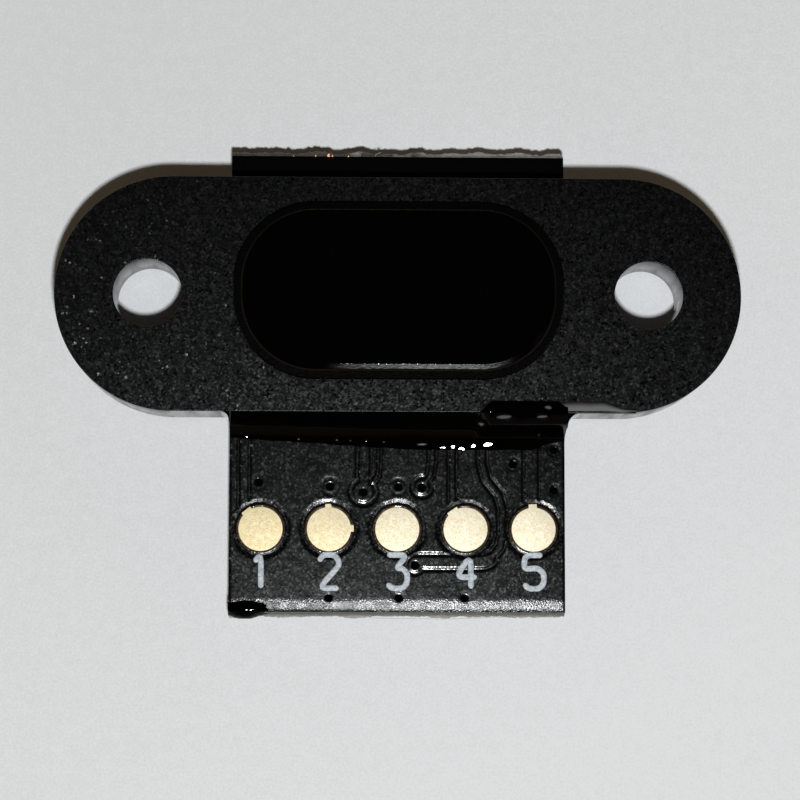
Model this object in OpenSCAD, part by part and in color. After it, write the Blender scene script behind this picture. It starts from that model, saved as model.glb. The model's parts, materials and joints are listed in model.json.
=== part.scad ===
// Time-of-flight distance sensor module: a moulded housing with two screw ears, an infrared-pass window,
// a small circuit board that tails out below it, the ranging chip behind the window, and the parts on the
// board's rear side. +Z is the sensing direction, +X runs along the two screw holes and -Y is the tail.
// The origin is midway between the screw holes, on the rear face of the ears.

/* [Housing] */
// Width of the housing from ear to ear
housing_w = 20; // [19.5:0.25:24]
// Height of the housing's outline
housing_h = 6.88; // [6.8:0.02:8]
// Thickness of the housing, front face to rear face
housing_t = 2; // [1.9:0.05:2.4]
// Distance between the two screw holes
hole_spacing = 14.6; // [14:0.1:15.2]
// Diameter of the screw holes
hole_d = 2; // [1.6:0.1:2.4]

/* [Window] */
// Width of the window insert
window_w = 9.6; // [8.8:0.1:10]
// Height of the window insert
window_h = 5.18; // [4.9:0.02:5.4]
// Corner radius of the window insert
window_r = 2.4; // [1.6:0.1:2.4]
// How far the window stands out of the front face
window_proud = 0.2; // [0.1:0.05:0.3]
// Width of the sloping rim round the flat of the window
window_rim = 0.34; // [0.2:0.02:0.4]
// Sideways offset of the window from the middle of the housing
window_dx = 0; // [-0.1:0.02:0.1]
// Offset of the window towards the board's short end
window_dy = 0.12; // [-0.12:0.02:0.12]

/* [Circuit board] */
// Width of the board
board_w = 9.84; // [9.8:0.02:10.2]
// Thickness of the board with its solder masks
board_t = 0.8; // [0.6:0.05:0.8]
// Where the masked face ends beyond the housing's upper edge
board_top = 4.28; // [4:0.02:4.6]
// Where the masked face ends at the tail, measured down from the origin
board_tail = 9.2; // [9.15:0.05:10]
// Bare snapped laminate beyond the mask at the short end
snap_top = 0.3; // [0.1:0.02:0.5]
// Bare snapped laminate beyond the mask at the tail
snap_tail = 0.2; // [0.05:0.01:0.3]

/* [Pads] */
// Number of round front pads
pad_count = 5; // [3:1:5]
// Pitch of the round front pads
pad_pitch = 2; // [1.9:0.01:2.05]
// Diameter of the round front pads
pad_d = 1.3; // [1:0.05:1.4]
// How far the row of round pads lies below the origin
pad_row = 6.78; // [6.7:0.02:6.8]
// Number of rear wire pads
wire_pad_count = 6; // [4:1:6]
// Pitch of the rear wire pads
wire_pad_pitch = 1.6; // [1.4:0.05:1.65]

/* [Hidden] */
$fn = 64;

// Housing: the channel that holds the board, and the aperture over the ranging chip
channel_w = board_w + 0.1;
aperture_w = 5.2;
aperture_h = 3.2;
aperture_r = 0.3;
recess_gap = 0.03;
adhesive_t = 0.05;
adhesive_inset = 0.05;
adhesive_lip = 0.2;
recess_depth = 0.2;
recess_z = housing_t - recess_depth;
window_z = recess_z + adhesive_t;
window_lower_proud = 0.06;
window_step_z = housing_t + window_lower_proud;
hole_x = hole_spacing / 2;
// How far a cut runs past the face that it opens
cut_over = 1;

// Board: masks, copper and plated holes
mask_t = 0.025;
mask_gap = 0.03;
via_r = 0.17;
via_bore_r = 0.1;
FRONT_VIAS = [
    [-4.07, -pad_row + 1.37], [-1.97, -pad_row + 1.26], [-1, -pad_row + 1.1], [0.03, -pad_row + 1.25],
    [0.72, -pad_row + 1.24], [3.4, -pad_row + 1.93], [4.6, -pad_row + 2.35], [4.6, -pad_row + 1.17],
    [-2, -pad_row - 2.01], [0.05, -pad_row - 2.01], [1.98, -pad_row - 2.01]
];
INNER_VIAS = [[-2.5, 2.4], [2.4, 2.3], [-2.5, -3.1], [1.9, -2.2], [-4.6, 1.1], [4.6, 1.1], [2.3, 0.9]];
wire_pad_w = 1;
wire_pad_l = 1.8;
wire_pad_r = 0.12;
wire_pad_y = -pad_row - 0.54;
// Clearance of a solder mask round a land, and how far a land reaches past the chip's end and under it
land_gap = 0.02;
land_out = 0.2;
land_in = 0.08;
land_side = 0.05;

// Ink marks
ink_t = 0.02;
front_pen = 0.17;
rear_pen = 0.11;
DIGITS = [
    [],
    [[0.12, 0.78], [0.32, 1], [0.32, 0]],
    [[0, 0.8], [0.14, 1], [0.46, 1], [0.6, 0.82], [0.6, 0.66], [0, 0], [0.6, 0]],
    [[0, 1], [0.6, 1], [0.27, 0.6], [0.46, 0.6], [0.6, 0.44], [0.6, 0.17], [0.46, 0], [0.14, 0],
     [0, 0.15]],
    [[0.46, 0], [0.46, 1], [0, 0.34], [0.64, 0.34]],
    [[0.56, 1], [0.04, 1], [0, 0.58], [0.42, 0.62], [0.6, 0.45], [0.6, 0.17], [0.46, 0], [0.14, 0],
     [0, 0.15]],
    [[0.5, 1], [0.2, 0.85], [0, 0.45], [0, 0.16], [0.14, 0], [0.46, 0], [0.6, 0.16], [0.6, 0.4],
     [0.46, 0.55], [0.1, 0.5]]
];
front_digit_y = -pad_row - 1.73;
front_digit_h = 0.98;
// Half the width of a digit, as a share of its height
digit_half = 0.3;
rear_digit_y = wire_pad_y - wire_pad_l / 2 - 0.84;
rear_digit_h = 0.62;

// Glue between the housing's lower wall and the board: [place along X, reach from the wall, rise]
glue_film = 0.06;
glue_slice_t = 0.01;
glue_round = 0.8;
glue_left_r = 0.27;
glue_right_r = 0.45;
glue_side_z = 0.1;
glue_full = housing_t - board_t;
board_edge = board_w / 2;
GLUE = [
    [-board_edge, 0.6, glue_full - 0.06], [-3, 0.7, glue_full - 0.05], [-1, 0.82, glue_full - 0.05],
    [1, 0.92, glue_full - 0.05], [2, 0.95, glue_full - 0.04], [2.5, 1, glue_full + glue_film],
    [3.5, 1.08, glue_full + glue_film], [4.3, 1.02, glue_full + glue_film],
    [board_edge, 0.85, glue_full + 0.02]
];
// Outline of the film that laps over the front face, from the housing's lower edge up
GLUE_LAP = [[2.35, 0], [2.72, 0.34], [3.4, 0.38], [4.9, 0.36], [5.7, 0.24], [6.4, 0.08], [6.4, 0]];

// Ranging chip, mounted over the middle of the housing
sensor_w = 4.4;
sensor_h = 2.4;
sensor_land_w = 0.5;
sensor_solder_t = 0.04;
substrate_z = board_t + sensor_solder_t;
substrate_t = 0.26;
lid_z = substrate_z + substrate_t;
lid_top = recess_z;
lid_wall = 0.22;
lid_roof = 0.2;
laser_x = -1.5;
laser_r = 0.3;
receiver_x = 1.1;
receiver_r = 0.45;
divider_x = -0.95;
divider_t = 0.2;
die_w = 2.1;
die_h = 1.3;
die_x = 0.55;
die_t = 0.22;
laser_w = 0.3;
laser_t = 0.15;
filter_w = 1.2;
filter_t = 0.15;
wire_r = 0.02;
wire_loop_r = 0.11;
DIE_WIRES_X = [-0.2:0.5:1.3];
LAND_ROWS = [for (x = [-1.6:0.8:1.6]) for (y = [-0.8, 0.8]) [x, y]];
SENSOR_LANDS = concat(LAND_ROWS, [[-1.6, 0], [1.6, 0]]);

// Rear components stand off the board by the thickness of their solder
solder_t = 0.02;
end_cap_t = 0.02;
glaze_t = 0.015;
glaze_side = 0.03;
joint_out = 0.16;
joint_climb = 0.5;
joint_waist = 0.05;
joint_waist_climb = 0.35;
mcu_x = -0.4;
mcu_y = -1.3;
mcu_w = 3;
mcu_t = 0.6;
mcu_pitch = 0.4;
mcu_terminals = 5;
mcu_terminal_w = 0.2;
mcu_terminal_l = 0.4;
mcu_terminal_t = 0.2;
mcu_pad_w = 1.6;
mcu_land_out = 0.16;
mcu_solder_out = 0.12;
mcu_mark_r = 0.15;
mcu_mark_depth = 0.05;
mcu_mark_inset = 0.4;
regulator_at = [-1.2, 2.75, 0];
shifter_at = [3.3, -0.75, 90];
small_ic_w = 1.6;
small_ic_h = 1.2;
small_ic_t = 0.55;
small_ic_pitch = 0.5;
lead_w = 0.22;
lead_t = 0.12;
lead_out = 0.2;
lead_in = 0.2;
lead_solder_in = 0.05;
regulator_leads_n = 5;
shifter_leads_n = 6;
// Chip sizes are [length, width, thickness, end cap length]
BULK = [1.6, 0.8, 0.6, 0.32];
SMALL = [1, 0.5, 0.5, 0.24];
RESISTOR = [1, 0.5, 0.34, 0.22];
// Places are [x, y, turn]
BULK_AT = [[-3.8, 3.15, 0], [1.25, 3.15, 0], [-3.7, -3.9, 0], [3.75, -3.15, 0]];
FERRITE_AT = [[3.8, 3.15, 0]];
SMALL_AT = [[-3.9, 1.75, 0], [-2.9, -0.2, 90], [-4.1, -0.2, 90], [0.3, 1.2, 0], [1.9, -3.9, 0]];
RESISTOR_AT = [
    [-2.9, -1.8, 90], [-4.1, -1.8, 90], [-1.35, -3.9, 0], [0.3, -3.9, 0], [3.5, 1.75, 0], [-1.3, 1.2, 0]
];

// ---- shared shapes ----

module stadium(w, h) {
    square([w - h, h], center = true);
    for (side = [-1, 1]) translate([side * (w - h) / 2, 0]) circle(d = h);
}

module rounded(w, h, r) {
    square([w - 2 * r, h], center = true);
    square([w, h - 2 * r], center = true);
    for (sx = [-1, 1]) for (sy = [-1, 1]) translate([sx * (w / 2 - r), sy * (h / 2 - r)]) circle(r);
}

module slab(z0, z1) {
    translate([0, 0, z0]) linear_extrude(z1 - z0) children();
}

module window_outline(inset) {
    translate([window_dx, window_dy]) rounded(window_w - 2 * inset, window_h - 2 * inset, window_r - inset);
}

module place(spot) {
    translate([spot[0], spot[1]]) rotate(spot[2]) children();
}

// A pen stroke with round ends from point a to point b
module stroke(a, b, pen) {
    run = b - a;
    translate(a) rotate(atan2(run[1], run[0])) translate([0, -pen / 2]) square([norm(run), pen]);
    translate(b) circle(d = pen, $fn = 24);
}

// A digit drawn as one run of strokes, with its lower left corner at the origin
module digit(value, tall, pen) {
    path = DIGITS[value] * tall;
    translate(path[0]) circle(d = pen, $fn = 24);
    for (i = [1:len(path) - 1]) stroke(path[i - 1], path[i], pen);
}

// ---- housing and window ----

module housing() {
    color([0.06, 0.06, 0.06]) difference() {
        slab(0, housing_t) stadium(housing_w, housing_h);
        // screw holes
        for (side = [-1, 1]) translate([side * hole_x, 0, -cut_over])
            cylinder(h = housing_t + 2 * cut_over, d = hole_d);
        // channel for the board, open at both ends and at the rear
        slab(-cut_over, board_t) square([channel_w, housing_h + 2 * cut_over], center = true);
        // seat of the window
        slab(recess_z, housing_t + cut_over) window_outline(-recess_gap);
        // aperture over the ranging chip
        slab(board_t - cut_over, housing_t) rounded(aperture_w, aperture_h, aperture_r);
    }
}

module window() {
    color([0.01, 0.01, 0.015]) {
        slab(window_z, window_step_z) window_outline(0);
        slab(window_step_z, housing_t + window_proud) window_outline(window_rim);
    }
}

module window_adhesive() {
    color([0.1, 0.1, 0.1]) slab(recess_z, window_z) difference() {
        window_outline(adhesive_inset);
        rounded(aperture_w + 2 * adhesive_lip, aperture_h + 2 * adhesive_lip, aperture_r + adhesive_lip);
    }
}

// ---- circuit board ----

module board_outline(extra_tail, extra_top) {
    low = -board_tail - extra_tail;
    translate([-board_w / 2, low]) square([board_w, board_top + extra_top - low]);
}

module via_circles(r) {
    for (spot = concat(FRONT_VIAS, INNER_VIAS)) translate(spot) circle(r, $fn = 24);
}

module pad_spots() {
    for (i = [0:pad_count - 1]) translate([(i - (pad_count - 1) / 2) * pad_pitch, -pad_row]) children();
}

module wire_pad_shapes(grow) {
    for (i = [0:wire_pad_count - 1])
        translate([(i - (wire_pad_count - 1) / 2) * wire_pad_pitch, wire_pad_y])
            rounded(wire_pad_w + 2 * grow, wire_pad_l + 2 * grow, wire_pad_r + grow);
}

// Lands of a two-ended chip, reaching a little past its ends
module chip_lands(size, grow) {
    land_l = size[3] + land_out + land_in;
    land_w = size[1] + 2 * land_side;
    for (side = [-1, 1])
        translate([side * (size[0] / 2 + land_out - land_l / 2), 0])
            square([land_l + 2 * grow, land_w + 2 * grow], center = true);
}

module small_ic_lands(lead_count, grow) {
    for (side = [-1, 1]) for (i = [-1:1])
        if (lead_count == 6 || side < 0 || i != 0)
            translate([i * small_ic_pitch, side * (small_ic_h / 2 + lead_out / 2)])
                square([lead_w + land_side + 2 * grow, lead_out + land_out + 2 * grow], center = true);
}

module mcu_terminal_shapes(outward, grow) {
    for (turn = [0:90:270]) rotate(turn) for (i = [0:mcu_terminals - 1])
        translate([(i - (mcu_terminals - 1) / 2) * mcu_pitch, (mcu_w - mcu_terminal_l + outward) / 2])
            square([mcu_terminal_w + 2 * grow, mcu_terminal_l + outward + 2 * grow], center = true);
}

module mcu_land_shapes(grow) {
    translate([mcu_x, mcu_y]) {
        mcu_terminal_shapes(mcu_land_out, grow);
        square(mcu_pad_w + 2 * grow, center = true);
    }
}

module rear_land_shapes(grow) {
    for (spot = BULK_AT) place(spot) chip_lands(BULK, grow);
    for (spot = FERRITE_AT) place(spot) chip_lands(BULK, grow);
    for (spot = SMALL_AT) place(spot) chip_lands(SMALL, grow);
    for (spot = RESISTOR_AT) place(spot) chip_lands(RESISTOR, grow);
    place(regulator_at) small_ic_lands(regulator_leads_n, grow);
    place(shifter_at) small_ic_lands(shifter_leads_n, grow);
    mcu_land_shapes(grow);
}

module sensor_land_shapes(grow) {
    for (spot = SENSOR_LANDS) translate(spot) square(sensor_land_w + 2 * grow, center = true);
}

module circuit_board() {
    color([0.45, 0.43, 0.33]) slab(mask_t, board_t - mask_t) difference() {
        board_outline(snap_tail, snap_top);
        via_circles(via_r);
    }
}

module front_solder_mask() {
    color([0.03, 0.03, 0.03]) slab(board_t - mask_t, board_t) difference() {
        board_outline(0, 0);
        pad_spots() circle(pad_d / 2 + mask_gap);
        sensor_land_shapes(land_gap);
    }
}

module rear_solder_mask() {
    color([0.03, 0.03, 0.03]) slab(0, mask_t) difference() {
        board_outline(0, 0);
        wire_pad_shapes(land_gap);
        rear_land_shapes(land_gap);
    }
}

module test_pads() {
    color([0.93, 0.78, 0.42]) slab(board_t - mask_t, board_t) pad_spots() circle(d = pad_d);
}

module wire_pads() {
    color([0.93, 0.78, 0.42]) slab(0, mask_t) wire_pad_shapes(0);
}

module component_lands() {
    color([0.9, 0.76, 0.42]) {
        slab(0, mask_t) rear_land_shapes(0);
        slab(board_t - mask_t, board_t) sensor_land_shapes(0);
    }
}

module vias() {
    color([0.72, 0.45, 0.2]) slab(mask_t, board_t - mask_t) difference() {
        via_circles(via_r);
        via_circles(via_bore_r);
    }
}

module front_ink() {
    color([0.85, 0.87, 0.9]) slab(board_t, board_t + ink_t)
        for (i = [0:pad_count - 1])
            translate([(i - (pad_count - 1) / 2) * pad_pitch - digit_half * front_digit_h, front_digit_y])
                digit(i + 1, front_digit_h, front_pen);
}

module rear_ink() {
    color([0.85, 0.87, 0.9]) translate([0, 0, -ink_t]) linear_extrude(ink_t)
        for (i = [0:wire_pad_count - 1])
            translate([((wire_pad_count - 1) / 2 - i) * wire_pad_pitch, rear_digit_y])
                mirror([1, 0]) translate([-digit_half * rear_digit_h, 0])
                    digit(i + 1, rear_digit_h, rear_pen);
}

// ---- glue ----

// One thin slice of the bead: full at the wall, rounded over and down to its toe on the board
module glue_slice(station) {
    steps = 6;
    reach = station[1];
    rise = station[2];
    curve = [for (i = [0:steps]) [-reach * sin(90 * i / steps), rise * pow(cos(90 * i / steps), glue_round)]];
    translate([station[0], -housing_h / 2, board_t]) rotate([90, 0, 90])
        linear_extrude(glue_slice_t, center = true) polygon(concat([[0, 0]], curve));
}

module side_fillet(side, r) {
    slab(glue_side_z, housing_t - 3 * glue_side_z) translate([side * board_edge, -housing_h / 2])
        difference() {
            translate([side > 0 ? 0 : -r, -r]) square(r);
            translate([side * r, -r]) circle(r);
        }
}

module glue_bead() {
    color([0.02, 0.02, 0.02]) {
        for (i = [1:len(GLUE) - 1]) hull() {
            glue_slice(GLUE[i - 1]);
            glue_slice(GLUE[i]);
        }
        slab(housing_t, housing_t + glue_film) translate([0, -housing_h / 2]) polygon(GLUE_LAP);
        side_fillet(-1, glue_left_r);
        side_fillet(1, glue_right_r);
    }
}

// ---- ranging chip ----

module sensor_solder() {
    color([0.7, 0.7, 0.7]) slab(board_t, substrate_z) sensor_land_shapes(-land_gap);
}

module sensor_substrate() {
    color([0.15, 0.13, 0.1]) slab(substrate_z, lid_z) square([sensor_w, sensor_h], center = true);
}

module sensor_lid() {
    inner_h = sensor_h - 2 * lid_wall;
    left = -sensor_w / 2 + lid_wall;
    right = sensor_w / 2 - lid_wall;
    color([0.08, 0.08, 0.08]) difference() {
        slab(lid_z, lid_top) square([sensor_w, sensor_h], center = true);
        slab(lid_z - cut_over, lid_top - lid_roof) {
            translate([left, -inner_h / 2]) square([divider_x - divider_t / 2 - left, inner_h]);
            translate([divider_x + divider_t / 2, -inner_h / 2])
                square([right - divider_x - divider_t / 2, inner_h]);
        }
        translate([laser_x, 0, lid_z]) cylinder(h = cut_over, r = laser_r);
        translate([receiver_x, 0, lid_z]) cylinder(h = cut_over, r = receiver_r);
    }
}

module receiver_die() {
    color([0.35, 0.33, 0.4]) slab(lid_z, lid_z + die_t)
        translate([die_x, 0]) square([die_w, die_h], center = true);
}

module laser_diode() {
    color([0.5, 0.45, 0.3]) slab(lid_z, lid_z + laser_t)
        translate([laser_x, 0]) square(laser_w, center = true);
}

module receiver_filter() {
    under_roof = lid_top - lid_roof;
    color([0.3, 0.1, 0.15]) slab(under_roof - filter_t, under_roof)
        translate([receiver_x, 0]) square(filter_w, center = true);
}

// Each wire is half a ring that springs from a die's edge and lands on the substrate beside it
module bond_wire(x, edge, side) {
    translate([x, side * (edge + wire_loop_r + wire_r), lid_z]) rotate([90, 0, 90])
        rotate_extrude(angle = 180) translate([wire_loop_r, 0]) circle(wire_r, $fn = 16);
}

module bond_wires() {
    color([0.9, 0.75, 0.35]) for (side = [-1, 1]) {
        for (x = DIE_WIRES_X) bond_wire(x, die_h / 2, side);
        bond_wire(laser_x, laser_w / 2, side);
    }
}

// ---- rear components ----

module microcontroller_body() {
    color([0.05, 0.05, 0.05]) translate([mcu_x, mcu_y]) difference() {
        slab(-solder_t - mcu_t, -solder_t) square(mcu_w, center = true);
        slab(-solder_t - mcu_terminal_t, cut_over) {
            mcu_terminal_shapes(0, 0);
            square(mcu_pad_w, center = true);
        }
        // mark beside the first terminal
        translate([mcu_mark_inset - mcu_w / 2, mcu_w / 2 - mcu_mark_inset, -solder_t - mcu_t - cut_over])
            cylinder(h = cut_over + mcu_mark_depth, r = mcu_mark_r);
    }
}

module microcontroller_terminals() {
    color([0.75, 0.75, 0.75]) translate([mcu_x, mcu_y]) slab(-solder_t - mcu_terminal_t, -solder_t) {
        mcu_terminal_shapes(0, 0);
        square(mcu_pad_w, center = true);
    }
}

module lead_shapes(lead_count, from_edge) {
    for (side = [-1, 1]) for (i = [-1:1])
        if (lead_count == 6 || side < 0 || i != 0)
            translate([i * small_ic_pitch, side * (small_ic_h / 2 + (lead_out - from_edge) / 2)])
                square([lead_w, lead_out + from_edge], center = true);
}

module small_ic_body(spot, lead_count) {
    color([0.05, 0.05, 0.05]) place(spot) difference() {
        slab(-solder_t - small_ic_t, -2 * solder_t) square([small_ic_w, small_ic_h], center = true);
        slab(-solder_t - lead_t, cut_over) lead_shapes(lead_count, lead_in);
    }
}

module small_ic_leads(spot, lead_count) {
    color([0.75, 0.75, 0.75]) place(spot) slab(-solder_t - lead_t, -solder_t)
        lead_shapes(lead_count, lead_in);
}

module regulator_body() { small_ic_body(regulator_at, regulator_leads_n); }
module regulator_leads() { small_ic_leads(regulator_at, regulator_leads_n); }
module level_shifter_body() { small_ic_body(shifter_at, shifter_leads_n); }
module level_shifter_leads() { small_ic_leads(shifter_at, shifter_leads_n); }

// The ceramic of a two-ended chip, a little smaller than its end caps
module chip_body(size) {
    slab(-solder_t - size[2] + end_cap_t, -solder_t - end_cap_t)
        square([size[0] - 2 * end_cap_t, size[1] - 2 * end_cap_t], center = true);
}

module chip_end_caps(size) {
    difference() {
        for (side = [-1, 1])
            translate([side * (size[0] - size[3]) / 2, 0])
                slab(-solder_t - size[2], -solder_t) square([size[3], size[1]], center = true);
        chip_body(size);
    }
}

module chip_bodies(spots, size) {
    for (spot = spots) place(spot) chip_body(size);
}

module chip_caps(spots, size) {
    for (spot = spots) place(spot) chip_end_caps(size);
}

module bulk_capacitor_bodies() { color([0.55, 0.42, 0.3]) chip_bodies(BULK_AT, BULK); }
module bulk_capacitor_end_caps() { color([0.78, 0.78, 0.78]) chip_caps(BULK_AT, BULK); }
module small_capacitor_bodies() { color([0.62, 0.48, 0.34]) chip_bodies(SMALL_AT, SMALL); }
module small_capacitor_end_caps() { color([0.78, 0.78, 0.78]) chip_caps(SMALL_AT, SMALL); }
module resistor_bodies() { color([0.9, 0.9, 0.86]) chip_bodies(RESISTOR_AT, RESISTOR); }
module resistor_end_caps() { color([0.78, 0.78, 0.78]) chip_caps(RESISTOR_AT, RESISTOR); }
module ferrite_body() { color([0.25, 0.25, 0.26]) chip_bodies(FERRITE_AT, BULK); }
module ferrite_end_caps() { color([0.78, 0.78, 0.78]) chip_caps(FERRITE_AT, BULK); }

module resistor_glaze() {
    back = -solder_t - RESISTOR[2] + end_cap_t;
    color([0.08, 0.08, 0.09]) for (spot = RESISTOR_AT) place(spot)
        slab(back - glaze_t, back)
            square([RESISTOR[0] - 2 * RESISTOR[3], RESISTOR[1] - 2 * glaze_side], center = true);
}

// Solder under each end and a wedge up its end face
module chip_joint(size) {
    climb = size[2] * joint_climb;
    for (side = [0, 180]) rotate(side) {
        translate([size[0] / 2 - size[3], 0])
            slab(-solder_t, 0) translate([0, -size[1] / 2]) square([size[3] + joint_out, size[1]]);
        translate([size[0] / 2, size[1] / 2, -solder_t]) rotate([90, 0, 0]) linear_extrude(size[1])
            polygon([[0, 0], [joint_out, 0], [joint_waist, -joint_waist_climb * climb], [0, -climb]]);
    }
}

module solder_joints() {
    color([0.72, 0.72, 0.72]) {
        for (spot = concat(BULK_AT, FERRITE_AT)) place(spot) chip_joint(BULK);
        for (spot = SMALL_AT) place(spot) chip_joint(SMALL);
        for (spot = RESISTOR_AT) place(spot) chip_joint(RESISTOR);
        slab(-solder_t, 0) {
            place(regulator_at) lead_shapes(regulator_leads_n, lead_solder_in);
            place(shifter_at) lead_shapes(shifter_leads_n, lead_solder_in);
            translate([mcu_x, mcu_y]) {
                mcu_terminal_shapes(mcu_solder_out, 0);
                square(mcu_pad_w - mcu_terminal_w, center = true);
            }
        }
    }
}

housing();
window();
window_adhesive();
circuit_board();
front_solder_mask();
rear_solder_mask();
test_pads();
wire_pads();
component_lands();
vias();
front_ink();
rear_ink();
glue_bead();
sensor_solder();
sensor_substrate();
sensor_lid();
receiver_die();
laser_diode();
receiver_filter();
bond_wires();
microcontroller_body();
microcontroller_terminals();
regulator_body();
regulator_leads();
level_shifter_body();
level_shifter_leads();
bulk_capacitor_bodies();
bulk_capacitor_end_caps();
small_capacitor_bodies();
small_capacitor_end_caps();
resistor_bodies();
resistor_glaze();
resistor_end_caps();
ferrite_body();
ferrite_end_caps();
solder_joints();
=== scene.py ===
"""Looks of the time-of-flight distance sensor module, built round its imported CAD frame.
Sizes are in millimetres in the CAD frame, and meshes are scaled to metres when they are made."""

import json
import math
import random

import bmesh
import bpy
import numpy as np
from mathutils import Euler, Matrix, Vector, noise


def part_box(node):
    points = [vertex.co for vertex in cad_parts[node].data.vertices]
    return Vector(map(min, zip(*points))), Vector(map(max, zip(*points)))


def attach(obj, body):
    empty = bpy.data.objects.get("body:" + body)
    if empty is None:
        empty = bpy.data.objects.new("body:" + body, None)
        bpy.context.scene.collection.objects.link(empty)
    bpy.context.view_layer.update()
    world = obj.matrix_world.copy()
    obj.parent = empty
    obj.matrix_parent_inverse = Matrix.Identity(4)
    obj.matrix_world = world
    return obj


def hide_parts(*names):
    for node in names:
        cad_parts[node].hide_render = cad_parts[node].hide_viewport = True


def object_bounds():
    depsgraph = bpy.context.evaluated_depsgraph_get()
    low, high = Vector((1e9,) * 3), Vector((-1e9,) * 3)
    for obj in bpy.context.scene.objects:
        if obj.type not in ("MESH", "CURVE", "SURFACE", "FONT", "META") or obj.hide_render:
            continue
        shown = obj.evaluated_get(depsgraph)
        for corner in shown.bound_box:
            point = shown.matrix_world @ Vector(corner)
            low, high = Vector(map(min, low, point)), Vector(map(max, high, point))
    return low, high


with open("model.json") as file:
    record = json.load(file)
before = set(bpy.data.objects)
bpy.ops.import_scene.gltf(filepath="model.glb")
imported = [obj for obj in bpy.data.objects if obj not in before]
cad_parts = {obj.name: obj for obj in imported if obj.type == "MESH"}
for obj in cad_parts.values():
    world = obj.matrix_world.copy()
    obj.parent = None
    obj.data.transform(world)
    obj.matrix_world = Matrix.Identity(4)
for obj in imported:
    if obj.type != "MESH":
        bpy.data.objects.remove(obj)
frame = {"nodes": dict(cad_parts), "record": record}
cad_low, cad_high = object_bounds()

MM = 0.001
random.seed(7)


# ---------------- sizes, from the frame


def box_mm(node):
    low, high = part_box(node)
    return low / MM, high / MM


MOUNTS = {mount["name"]: mount for mount in frame["record"]["mounts"]}
HOUSING_LOW, HOUSING_HIGH = box_mm("housing")
HOUSING_W = HOUSING_HIGH.x - HOUSING_LOW.x
HOUSING_H = HOUSING_HIGH.y - HOUSING_LOW.y
FRONT_Z = HOUSING_HIGH.z
WALL_Y = HOUSING_LOW.y
HOLE_X = MOUNTS["mounting_holes"]["dims"]["spacing_x_mm"] / 2
HOLE_R = MOUNTS["mounting_holes"]["dims"]["hole_r_mm"]

WINDOW_LOW, WINDOW_HIGH = box_mm("window")
WINDOW_W = WINDOW_HIGH.x - WINDOW_LOW.x
WINDOW_H = WINDOW_HIGH.y - WINDOW_LOW.y
WINDOW_Y = (WINDOW_HIGH.y + WINDOW_LOW.y) / 2
WINDOW_R = 2.4
RECESS_Z = box_mm("window_adhesive")[0].z
APERTURE = (5.2, 3.2, 0.3)

LAMINATE_LOW, LAMINATE_HIGH = box_mm("circuit_board")
MASK_LOW, MASK_HIGH = box_mm("front_solder_mask")
BOARD_X = MASK_HIGH.x
BOARD_Z = MASK_HIGH.z
CHANNEL_W = 2 * BOARD_X + 0.1

PADS_LOW, PADS_HIGH = box_mm("test_pads")
PAD_R = (PADS_HIGH.y - PADS_LOW.y) / 2
PAD_Y = (PADS_HIGH.y + PADS_LOW.y) / 2
PAD_X = [PADS_LOW.x + PAD_R + i * (PADS_HIGH.x - PADS_LOW.x - 2 * PAD_R) / 4 for i in range(5)]

FLOOR_Z = cad_low.z / MM

# The camera looks down at the part from 77 mm, tilted by about 6 degrees
CAMERA_TURN = Euler([math.radians(a) for a in (-5.78, 1.55, -0.26)], "XYZ").to_matrix().transposed()
CAMERA_PLACE = CAMERA_TURN @ Vector((0.09, -2.88, 77))
LAMP_PLACE = Vector((-0.3, -22, 76))


# ---------------- small tools


def smooth_step(start, end, value):
    t = np.clip((value - start) / (end - start), 0, 1)
    return t * t * (3 - 2 * t)


def ease(start, end, value):
    """The same rise as smooth_step, as one plain number."""
    return float(smooth_step(start, end, value))


def rough(x, y, z):
    """Smooth noise between about -1 and 1 at a point, with features about 1 across."""
    return noise.noise(Vector((x, y, z)))


def band(value, inner, outer, soft):
    """1 where value lies between inner and outer, falling to 0 over soft on both sides."""
    risen = smooth_step(inner - soft, inner + soft, value)
    return risen * (1 - smooth_step(outer - soft, outer + soft, value))


def ripple(x, y, size, seed=0.0):
    """Smooth noise between about -1 and 1 at the points x, y, with features of that size."""
    flat = zip(np.ravel(x) / size, np.ravel(y) / size)
    values = [rough(u, v, seed) for u, v in flat]
    return np.array(values).reshape(np.shape(x)) * 1.6


def distance_to_path(x, y, path):
    nearest = np.full(np.shape(x), 1e9)
    for (ax, ay), (bx, by) in zip(path, path[1:]):
        run_x, run_y = bx - ax, by - ay
        t = np.clip(((x - ax) * run_x + (y - ay) * run_y) / (run_x**2 + run_y**2), 0, 1)
        nearest = np.minimum(nearest, np.hypot(x - ax - t * run_x, y - ay - t * run_y))
    return nearest


def rounded_corners(path, rounds=2):
    """Cuts the corners of an open path, and keeps its two ends."""
    for _ in range(rounds):
        cut = [path[0]]
        for a, b in zip(path, path[1:]):
            a, b = np.array(a, float), np.array(b, float)
            cut += [a * 0.8 + b * 0.2, a * 0.2 + b * 0.8]
        path = cut + [path[-1]]
    return [tuple(float(c) for c in point) for point in path]


# ---------------- materials


# Every material, by the name its function below gives it
MATERIALS = {}


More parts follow.
